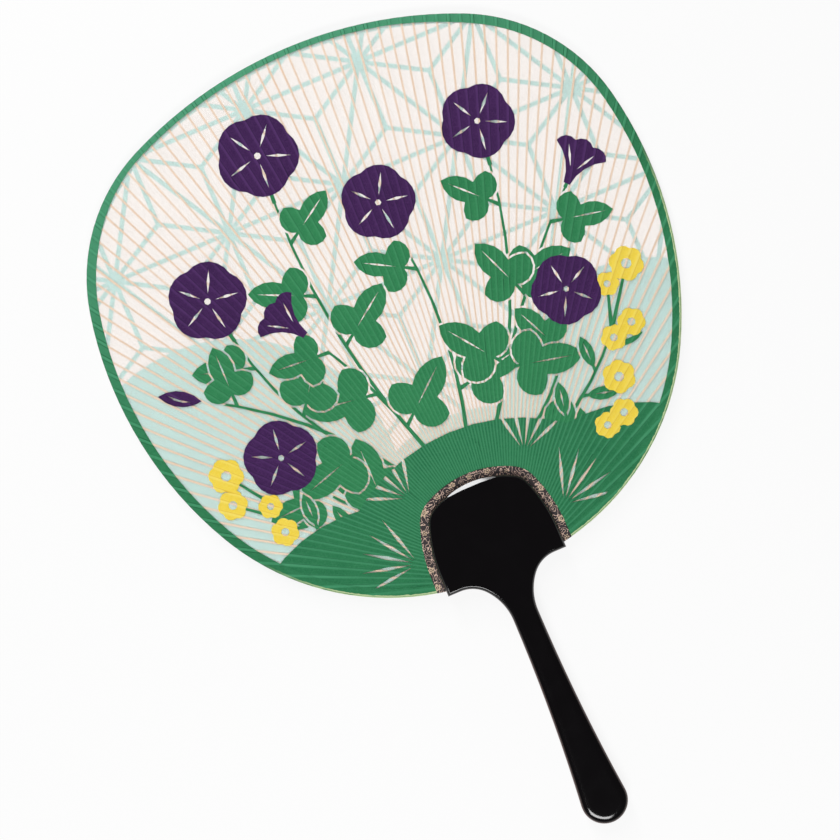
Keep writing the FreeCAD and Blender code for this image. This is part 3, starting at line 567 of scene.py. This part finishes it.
def foldedPaper(look):
    # the same dyed paper folded over an edge: creased at the ribs with painted shade beside each crease,
    # painted light on one side, a pale band along the fold on the other
    material, tree = startMaterial("foldedGreenFibrePaper")
    dyed, bump = fibrePaper(tree, look)
    # painted light on the side of the rim that faces the lamps
    lightFacing = addNode(tree, "ShaderNodeAttribute", attribute_name="fadedSide").outputs["Fac"]
    sideLit = addNode(tree, "ShaderNodeMath", (lightFacing, look["sideLightShow"]), operation="MULTIPLY")
    plain = addNode(tree, "ShaderNodeMix", (sideLit, dyed, linearOf(look["sideLight"])), data_type="RGBA")
    place = addNode(tree, "ShaderNodeTexCoord").outputs["Object"]
    # painted shade beside each rib's crest, stronger by some ribs, left off where the pale band runs
    onRib = addNode(tree, "ShaderNodeAttribute", attribute_name="onRib").outputs["Fac"]
    begins = addNode(tree, "ShaderNodeMapRange", (onRib, *look["creaseBegins"], 0.0, look["creaseShadeShow"]))
    ends = addNode(tree, "ShaderNodeMapRange", (onRib, *look["creaseEnds"], 1.0, 0.0))
    creased = addNode(tree, "ShaderNodeMath", (begins, ends), operation="MULTIPLY")
    edge = addNode(tree, "ShaderNodeAttribute", attribute_name="fromEdge").outputs["Fac"]
    side = addNode(tree, "ShaderNodeAttribute", attribute_name="wornSide").outputs["Fac"]
    patches = addNode(tree, "ShaderNodeTexNoise", {"Vector": place, "Scale": 1 / look["creaseShadePatch"]})
    marked = addNode(tree, "ShaderNodeMapRange", (patches, *look["patchEdges"], look["leastPatch"], 1.0))
    offPaleBand = addNode(tree, "ShaderNodeMath", (1.0, side), operation="SUBTRACT")
    kept = addNode(tree, "ShaderNodeMath", (marked, offPaleBand), operation="MULTIPLY")
    dark = addNode(tree, "ShaderNodeMath", (creased, kept), operation="MULTIPLY")
    colour = addNode(tree, "ShaderNodeMix", (dark, plain, linearOf(look["creaseShade"])), data_type="RGBA")
    # a pale band along the fold on one side, ragged on its inner edge, with a darker green line near the
    # fold
    nicks = addNode(tree, "ShaderNodeTexNoise", {"Vector": place, "Scale": 1 / look["rag"], "Detail": 3.0})
    ragged = addNode(tree, "ShaderNodeMath", (nicks, look["ragDepth"], edge), operation="MULTIPLY_ADD")
    reach = addNode(tree, "ShaderNodeMapRange", (ragged, *look["paleBandEdges"], 1.0, 0.0))
    shown = addNode(tree, "ShaderNodeMath", (reach, side), operation="MULTIPLY")
    paleBand = addNode(tree, "ShaderNodeMix", (shown, colour, linearOf(look["paleBand"])), data_type="RGBA")
    lineLow, lineHigh = look["bandLineAt"]
    afterLow = addNode(tree, "ShaderNodeMath", (edge, lineLow), operation="GREATER_THAN")
    beforeHigh = addNode(tree, "ShaderNodeMath", (edge, lineHigh), operation="LESS_THAN")
    onLine = addNode(tree, "ShaderNodeMath", (afterLow, beforeHigh), operation="MULTIPLY")
    lineShown = addNode(tree, "ShaderNodeMath", (onLine, side), operation="MULTIPLY")
    lined = addNode(tree, "ShaderNodeMix", (lineShown, paleBand, linearOf(look["bandLine"])), data_type="RGBA")
    closePaper(tree, lined, bump)
    return material


def foldEdges(shape, low, high, middle):
    edges, corners = [], set()
    for edge in shape.edges:
        ends = [corner.co for corner in edge.verts]
        flat = abs(ends[0].z - ends[1].z) < drape["weld"]
        atFace = min(abs(ends[0].z - low[2]), abs(ends[0].z - high[2])) < drape["weld"]
        walls = [face for face in edge.link_faces if abs(face.normal.z) < levelNormal]
        if flat and atFace and any(face.normal.dot(ends[0] - middle) > 0 for face in walls):
            edges.append(edge)
            corners |= {(corner.x, corner.y) for corner in ends}
    return edges, sorted(corners, key=lambda point: math.atan2(point[0] - middle.x, point[1] - middle.y))


def makeRim(look):
    shape = weldedCopy("rim_binding")
    low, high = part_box("rim_binding")
    middle = Vector(((low[0] + high[0]) / 2, (low[1] + high[1]) / 2, 0))
    outer, outline = foldEdges(shape, low, high, middle)
    bmesh.ops.bevel(
        shape, geom=outer, offset=look["foldRound"], offset_type="OFFSET", segments=look["foldSteps"],
        profile=0.5, affect="EDGES", clamp_overlap=True,
    )
    cutAlongRibs(shape, look["cuts"])
    points = np.array([vertex.co for vertex in shape.verts])
    shares, marks = sagShares(points, look["squareness"])[:2]
    gaps = [gap for along, gap in distancesTo(points[:, :2], [*outline, outline[0]])]
    level = (low[2] + high[2]) / 2
    layers = shape.verts.layers.float
    onRib, fromEdge, wornSide, fadedSide = map(layers.new, ("onRib", "fromEdge", "wornSide", "fadedSide"))
    paleBandwards = Vector(look["paleBandTowards"]).normalized()
    lightwards = Vector(look["sideLightTowards"]).normalized()
    for vertex, share, mark, gap in zip(shape.verts, shares, marks, gaps):
        outwards = (vertex.co - middle).to_2d().normalized()
        lightFacing = outwards.dot(lightwards)
        vertex[onRib] = mark
        vertex[fromEdge] = gap
        vertex[wornSide] = float(np.interp(outwards.dot(paleBandwards), look["paleBandFrom"], (0, 1)))
        # painted light on the side that faces the lamps
        vertex[fadedSide] = max(lightFacing, 0)
        narrow = look["narrowBy"] * float(np.interp(lightFacing, look["narrowFrom"], (0, 1)))
        vertex.co.xy *= 1 + narrow * gap / vertex.co.xy.length  # out along the rib
        vertex.co.z -= look["sag"] * share * (1 if vertex.co.z > level else -1)
    finishPiece(shape, "rimBinding", "rim_binding", foldedPaper(look), drape["crispEdge"])


makeRim(rim)

# neck trims: brocade-printed paper bands pasted round the head on both faces
trim = {
    "ground": "#2b2225",
    "pink": "#dcbcaa",
    "gold": "#ceb498",
    "width": 4.4 * mm,
    "sagShare": 0.6,  # of the sag of the cut papers
    "headFrom": 2 * mm,  # along the handle, where its head begins
    "headMiddle": 20 * mm,
    "swirl": 3.0 * mm,  # size of one curl of the print, drawn coarser than real so that it shows
    "lines": 6.0,  # lines of print across one curl
    "lineEdges": (0.05, 0.13),  # half width of a line, inside and outside its soft edge
    "cell": 9.0 * mm,  # one floret in each
    "warp": 2.2 * mm,  # size of the waves that push the florets out of line
    "warpBy": 1.1 * mm,
    "relief": 0.03 * mm,
    "roughness": 0.6,
    # the floret is drawn in plain millimetres
    "warpBack": 0.5,  # about the mean push of those waves
    "floretSizes": (0.4, 1.7),
    "floretPlaces": (0.9, -1.4),  # off the middle of the band
    "petals": 5.0,
    "petalDepth": 0.35,
    "petalSoft": 0.1,
    "heart": 0.55,  # radius of the ring in the middle
    "heartEdges": (0.12, 0.22),
}


def headOutline(look):
    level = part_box("handle")[0][2] + handleBevel
    nearLevel = 0.01 * mm
    corners = [vertex.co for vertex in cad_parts["handle"].data.vertices]
    wall = {
        (round(corner.x, 6), round(corner.y, 6))
        for corner in corners if abs(corner.z - level) < nearLevel and corner.y > look["headFrom"]
    }
    return sorted(wall, key=lambda point: math.atan2(point[0], point[1] - look["headMiddle"]))


def printedPaper(look):
    # printed paper: dark plum ground crowded with dusty pink curls and gold florets, the ink a little glossy
    material, tree = startMaterial("printedPlumPaper")
    band = addNode(tree, "ShaderNodeAttribute", attribute_name="bandPlace").outputs["Vector"]
    field = addNode(tree, "ShaderNodeTexNoise", {"Vector": band, "Scale": 1 / look["swirl"], "Detail": 0.6})
    steps = addNode(tree, "ShaderNodeMath", (field, look["lines"]), operation="MULTIPLY")
    ring = addNode(tree, "ShaderNodeMath", (steps,), operation="FRACT")
    offLine = addNode(tree, "ShaderNodeMath", (ring, 0.5), operation="SUBTRACT")
    lineGap = addNode(tree, "ShaderNodeMath", (offLine,), operation="ABSOLUTE")
    curls = addNode(tree, "ShaderNodeMapRange", (lineGap, *look["lineEdges"], 1.0, 0.0))
    waves = addNode(tree, "ShaderNodeTexNoise", {"Vector": band, "Scale": 1 / look["warp"], "Detail": 1.0})
    push = (waves.outputs["Color"], (look["warpBy"],) * 3)
    shift = addNode(tree, "ShaderNodeVectorMath", push, operation="MULTIPLY")
    moved = addNode(tree, "ShaderNodeVectorMath", (band, shift), operation="ADD")
    parts = addNode(tree, "ShaderNodeSeparateXYZ", (moved,))
    cells = addNode(tree, "ShaderNodeMath", (parts.outputs["X"], 1 / look["cell"]), operation="MULTIPLY")
    inCell = addNode(tree, "ShaderNodeMath", (cells,), operation="FRACT")
    cellNumber = addNode(tree, "ShaderNodeMath", (cells,), operation="FLOOR")
    draw = addNode(tree, "ShaderNodeTexWhiteNoise", {"W": cellNumber}, noise_dimensions="1D")
    chance = draw.outputs["Value"]
    floretSize = addNode(tree, "ShaderNodeMapRange", (chance, 0.0, 1.0, *look["floretSizes"]))
    sideStep = addNode(tree, "ShaderNodeMapRange", (chance, 0.0, 1.0, *look["floretPlaces"]))
    cellSize = look["cell"] / mm
    x = addNode(tree, "ShaderNodeMath", (inCell, cellSize, -cellSize / 2), operation="MULTIPLY_ADD")
    bandMiddle = look["width"] / mm / 2 + look["warpBack"]
    middled = addNode(tree, "ShaderNodeMath", (sideStep, bandMiddle), operation="SUBTRACT")
    y = addNode(tree, "ShaderNodeMath", (parts.outputs["Y"], 1 / mm, middled), operation="MULTIPLY_ADD")
    spot = addNode(tree, "ShaderNodeCombineXYZ", (x, y, 0.0))
    reach = addNode(tree, "ShaderNodeVectorMath", (spot,), operation="LENGTH").outputs["Value"]
    turn = addNode(tree, "ShaderNodeMath", (y, x), operation="ARCTAN2")
    petals = addNode(tree, "ShaderNodeMath", (turn, look["petals"]), operation="MULTIPLY")
    petalWave = addNode(tree, "ShaderNodeMath", (petals,), operation="COSINE")
    petalEdge = addNode(
        tree, "ShaderNodeMath", (petalWave, look["petalDepth"], floretSize), operation="MULTIPLY_ADD",
    )
    petalGap = addNode(tree, "ShaderNodeMath", (reach, petalEdge), operation="SUBTRACT")
    petalSoft = look["petalSoft"]
    petal = addNode(tree, "ShaderNodeMapRange", (petalGap, -petalSoft, petalSoft, 1.0, 0.0))
    heartGap = addNode(tree, "ShaderNodeMath", (reach, look["heart"]), operation="SUBTRACT")
    heartOff = addNode(tree, "ShaderNodeMath", (heartGap,), operation="ABSOLUTE")
    heart = addNode(tree, "ShaderNodeMapRange", (heartOff, *look["heartEdges"], 1.0, 0.0))
    pinked = addNode(
        tree, "ShaderNodeMix", (curls, linearOf(look["ground"]), linearOf(look["pink"])), data_type="RGBA",
    )
    gilded = addNode(tree, "ShaderNodeMix", (petal, pinked, linearOf(look["gold"])), data_type="RGBA")
    centred = addNode(tree, "ShaderNodeMix", (heart, gilded, linearOf(look["ground"])), data_type="RGBA")
    ink = addNode(tree, "ShaderNodeMath", (curls, petal), operation="MAXIMUM")
    bump = addNode(tree, "ShaderNodeBump", {"Height": ink, "Strength": 0.3, "Distance": look["relief"]})
    shader = addNode(tree, "ShaderNodeBsdfPrincipled", {
        "Base Color": centred, "Roughness": look["roughness"], "Normal": bump,
    })
    addNode(tree, "ShaderNodeOutputMaterial", (shader,))
    return material


def makeTrims(look):
    material = printedPaper(look)
    path = headOutline(look)
    bands = (("neckTrimFront", "neck_trim_front", 1), ("neckTrimBack", "neck_trim_back", -1))
    for name, node, side in bands:
        shape = weldedCopy(node)
        cutAlongRibs(shape)
        points = np.array([(vertex.co.x, vertex.co.y) for vertex in shape.verts])
        bandPlace = shape.verts.layers.float_vector.new("bandPlace")
        for vertex, (along, across) in zip(shape.verts, distancesTo(points, path)):
            vertex[bandPlace] = (along, across, 0)
        hangBetweenRibs(shape, drape["sag"] * look["sagShare"] * side)
        finishPiece(shape, name, node, material, drape["crispEdge"])


makeTrims(trim)

# handle: black lacquer over wood, its edges rounded off under the lacquer
handle = {
    "roundPlaces": (-45 * mm, -8 * mm, 15 * mm, 40 * mm),  # along the handle: grip, neck, lips, crown
    "roundWidths": (4.6 * mm, 1.8 * mm, 1.8 * mm, 0.9 * mm),
    "roundHeight": 2.4 * mm,
    "roundSteps": 12,
    "leastMitre": 0.3,  # keeps a sharp corner from running far in
    "crossedShare": 0.985,  # a point nearer the outline than this share of the inset has crossed over
    "flatRing": 0.5 * mm,  # level ring inside the round
    "facetReach": 2.15 * mm,  # the planed flats on the crown
    "facetSlope": math.radians(32),
    "facetArc": 146 * mm,  # radius of their inner edge
    "facetTurns": (-4, 0, 4),  # degrees
    "facetBlend": 6,  # degrees, an edge of a flat that bends less is smooth
    "crispEdge": 25,  # degrees, other edges that bend more stay crisp
    "black": "#0a080a",
    # brown on the rounded edges: thin lacquer there, and partly a painted reflection
    "thin": "#5c413b",
    "edgeBrownBegins": (0.9 * mm, 1.8 * mm),  # depths below a face where the brown of thin lacquer and painted reflection comes in, and goes again
    "edgeBrownEnds": (2.5 * mm, 3.2 * mm),
    "ripple": 9 * mm,
    "relief": 0.05 * mm,
    "rubbing": 12 * mm,  # patches polished more and less
    "rubbingEdges": (0.3, 0.7),
    "roughness": (0.08, 0.14),
}


def blackLacquer(look):
    # lacquer polished over wood: deep black with a clear gloss, a slow ripple, brown along the rounded
    # edges, partly thin lacquer and partly a painted reflection
    material, tree = startMaterial("polishedBlackLacquer")
    place = addNode(tree, "ShaderNodeTexCoord").outputs["Object"]
    ripple = addNode(tree, "ShaderNodeTexNoise", {
        "Vector": place, "Scale": 1 / look["ripple"], "Detail": 1.0,
    })
    bump = addNode(tree, "ShaderNodeBump", {"Height": ripple, "Strength": 0.12, "Distance": look["relief"]})
    rubbing = addNode(tree, "ShaderNodeTexNoise", {
        "Vector": place, "Scale": 1 / look["rubbing"], "Detail": 4.0,
    })
    roughness = addNode(tree, "ShaderNodeMapRange", (rubbing, *look["rubbingEdges"], *look["roughness"]))
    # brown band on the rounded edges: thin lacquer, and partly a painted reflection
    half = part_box("handle")[1][2] / 2
    height = addNode(tree, "ShaderNodeSeparateXYZ", (place,)).outputs["Z"]
    offMiddle = addNode(tree, "ShaderNodeMath", (height, half), operation="SUBTRACT")
    away = addNode(tree, "ShaderNodeMath", (offMiddle,), operation="ABSOLUTE")
    depth = addNode(tree, "ShaderNodeMath", (half, away), operation="SUBTRACT")
    begins = addNode(tree, "ShaderNodeMapRange", (depth, *look["edgeBrownBegins"], 0.0, 1.0))
    ends = addNode(tree, "ShaderNodeMapRange", (depth, *look["edgeBrownEnds"], 1.0, 0.0))
    thin = addNode(tree, "ShaderNodeMath", (begins, ends), operation="MULTIPLY")
    colour = addNode(
        tree, "ShaderNodeMix", (thin, linearOf(look["black"]), linearOf(look["thin"])), data_type="RGBA",
    )
    shader = addNode(tree, "ShaderNodeBsdfPrincipled", {
        "Base Color": colour, "Roughness": roughness, "IOR": 1.5, "Normal": bump,
    })
    addNode(tree, "ShaderNodeOutputMaterial", (shader,))
    return material


def orderedLoop(edges):
    around = set(edges)
    first = edges[0]
    loop, edge = [first.verts[0]], first
    corner = first.verts[1]
    while corner is not loop[0]:
        loop.append(corner)
        edge = next(other for other in corner.link_edges if other in around and other is not edge)
        corner = edge.other_vert(corner)
    return loop


def insetOutline(outline, inset, look):
    after = np.roll(outline, -1, axis=0)
    steps = after - outline
    steps /= np.linalg.norm(steps, axis=1)[:, None]
    turned = np.stack((-steps[:, 1], steps[:, 0]), axis=1)
    doubleArea = (outline[:, 0] * after[:, 1] - after[:, 0] * outline[:, 1]).sum()
    inward = turned * np.sign(doubleArea)
    mitre = inward + np.roll(inward, 1, axis=0)
    mitre /= np.linalg.norm(mitre, axis=1)[:, None]
    slant = np.maximum((mitre * inward).sum(axis=1), look["leastMitre"])
    points = outline + mitre * (inset / slant)[:, None]
    gaps = np.array([gap for along, gap in distancesTo(points, [*outline, outline[0]])])
    good = np.flatnonzero(gaps > inset * look["crossedShare"] - drape["weld"])
    count = len(outline)
    # points that would cross at a tip move to its middle
    for number in np.setdiff1d(np.arange(count), good):
        away = np.abs(good - number)
        points[number] = points[good[np.argmin(np.minimum(away, count - away))]]
    return points


def roundFace(shape, loop, face, inwards, look):
    outline = np.array([(corner.co.x, corner.co.y) for corner in loop])
    for corner in loop:
        corner.co.z = face - inwards * look["roundHeight"]
    turns = [math.pi / 2 * number / look["roundSteps"] for number in range(1, look["roundSteps"] + 1)]
    widths = np.interp(outline[:, 1], look["roundPlaces"], look["roundWidths"])
    rings = [
        (widths * (1 - math.cos(turn)), face - inwards * look["roundHeight"] * (1 - math.sin(turn)))
        for turn in turns
    ]
    rings.append((widths + look["flatRing"], face))
    below = loop
    for inset, level in rings:
        above = [shape.verts.new((*point, level)) for point in insetOutline(outline, inset, look)]
        for number in range(len(loop)):
            after = (number + 1) % len(loop)
            shape.faces.new((below[number], below[after], above[after], above[number]))
        below = above
    neighbours = zip(below, below[1:] + below[:1])
    shape.faces.new([
        corner for corner, after in neighbours if (corner.co - after.co).length > drape["weld"]
    ])


def planeCrown(shape, face, upward, look):
    middle = max(corner.co.y for corner in shape.verts) - look["facetReach"] - look["facetArc"]
    rise, tilt = upward * math.cos(look["facetSlope"]), math.sin(look["facetSlope"])
    for turn in look["facetTurns"]:
        towards = Vector((math.sin(math.radians(turn)), math.cos(math.radians(turn)), 0))
        foot = towards * look["facetArc"] + Vector((0, middle, face))
        parts = [*shape.verts, *shape.edges, *shape.faces]
        cut = bmesh.ops.bisect_plane(
            shape, geom=parts, dist=drape["weld"], plane_co=foot, plane_no=towards * tilt + upwards * rise,
            clear_outer=True,
        )
        around = [part for part in cut["geom_cut"] if isinstance(part, bmesh.types.BMEdge)]
        bmesh.ops.edgeloop_fill(shape, edges=around)
        for edge in around:
            edge.smooth = edge.calc_face_angle(0) < math.radians(look["facetBlend"])


def makeHandle(look):
    shape = weldedCopy("handle")
    low, high = (corner[2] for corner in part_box("handle"))
    nearFace = [
        face for face in shape.faces
        if not low + handleBevel < face.calc_center_median().z < high - handleBevel
    ]
    bmesh.ops.delete(shape, geom=nearFace, context="FACES")  # faces and bevels, which the round replaces
    rims = [edge for edge in shape.edges if edge.is_boundary]
    for face, inwards in ((low, -1), (high, 1)):
        loop = orderedLoop([edge for edge in rims if abs(edge.verts[0].co.z - face) < 2 * handleBevel])
        roundFace(shape, loop, face, inwards, look)
    bmesh.ops.remove_doubles(shape, verts=shape.verts, dist=drape["weld"])
    bmesh.ops.recalc_face_normals(shape, faces=shape.faces)
    planeCrown(shape, high, 1, look)
    planeCrown(shape, low, -1, look)
    bmesh.ops.triangulate(shape, faces=[face for face in shape.faces if len(face.verts) > 4])
    material = blackLacquer(look)
    finishPiece(shape, "lacqueredHandle", "handle", material, look["crispEdge"])


makeHandle(handle)

# studio: pale floor, soft boxes away from the zenith so that the lacquer stays dark
studio = {
    "floorSize": 6.0,
    "floorDrop": 0.05 * mm,  # below the handle's underside
    "floor": "#f2f2f2",
    "floorWhite": 0.86,  # share of the floor's look that stays white under the shadow
    "skyWhite": 0.85,  # strength near the horizon
    "skyDark": 0.05,  # and overhead
    "skyEdges": (0.15, 0.45),  # heights between which one gives way to the other, 1 at the zenith
    "target": (0, 90 * mm, 0),  # the point on the blade that the boxes face
    "boxes": (
        # azimuth and elevation of the box seen from the blade, distance, width, height, watts
        (-8, 48, 1.5, 0.45, 0.8, 7.5),
        (-1, 27, 1.2, 0.24, 0.24, 3.8),
        (-157, 54, 1.5, 0.78, 0.37, 13.0),
    ),
}


def makeFloor(look):
    half = look["floorSize"] / 2
    mesh = bpy.data.meshes.new("studioFloor")
    corners = ((-half, -half), (half, -half), (half, half), (-half, half))
    mesh.from_pydata([(x, y, -look["floorDrop"]) for x, y in corners], [], [(0, 1, 2, 3)])
    floor = bpy.data.objects.new("studioFloor", mesh)
    bpy.context.scene.collection.objects.link(floor)
    material, tree = startMaterial("whitePaperFloor")
    paths = addNode(tree, "ShaderNodeLightPath")
    seen = 0.0
    for ray in ("Is Camera Ray", "Is Glossy Ray", "Is Transmission Ray"):
        seen = addNode(tree, "ShaderNodeMath", (seen, paths.outputs[ray]), operation="MAXIMUM")
    share = addNode(tree, "ShaderNodeMath", (seen, look["floorWhite"]), operation="MULTIPLY")
    matt = addNode(tree, "ShaderNodeBsdfDiffuse", {"Color": linearOf(look["floor"])})
    white = addNode(tree, "ShaderNodeEmission", {"Color": (1, 1, 1, 1), "Strength": 1.0})
    mixed = addNode(tree, "ShaderNodeMixShader", (share, matt, white))
    addNode(tree, "ShaderNodeOutputMaterial", (mixed,))
    mesh.materials.append(material)


def makeWorld(look):
    world = bpy.data.worlds.new("studioWorld")
    world.use_nodes = True
    tree = world.node_tree
    tree.nodes.clear()
    place = addNode(tree, "ShaderNodeTexCoord").outputs["Generated"]
    height = addNode(tree, "ShaderNodeSeparateXYZ", (place,)).outputs["Z"]
    share = addNode(
        tree, "ShaderNodeMapRange", (height, *look["skyEdges"], look["skyWhite"], look["skyDark"]),
    )
    sky = addNode(tree, "ShaderNodeBackground", {"Color": (1, 1, 1, 1), "Strength": share})
    addNode(tree, "ShaderNodeOutputWorld", (sky,))
    bpy.context.scene.world = world


def makeLights(look):
    target = Vector(look["target"])
    for number, (azimuth, elevation, distance, width, height, watts) in enumerate(look["boxes"]):
        data = bpy.data.lights.new(f"softBox{number}", "AREA")
        data.shape = "RECTANGLE"
        data.size = width
        data.size_y = height
        data.energy = watts
        lamp = bpy.data.objects.new(f"softBox{number}", data)
        turn, rise = math.radians(azimuth), math.radians(elevation)
        towards = Vector((math.sin(turn) * math.cos(rise), math.cos(turn) * math.cos(rise), math.sin(rise)))
        lamp.location = target + towards * distance
        lamp.rotation_euler = towards.to_track_quat("Z", "Y").to_euler()
        bpy.context.scene.collection.objects.link(lamp)


makeFloor(studio)
makeWorld(studio)
makeLights(studio)
bpy.context.scene.view_settings.view_transform = "Standard"
print("studio is lit")
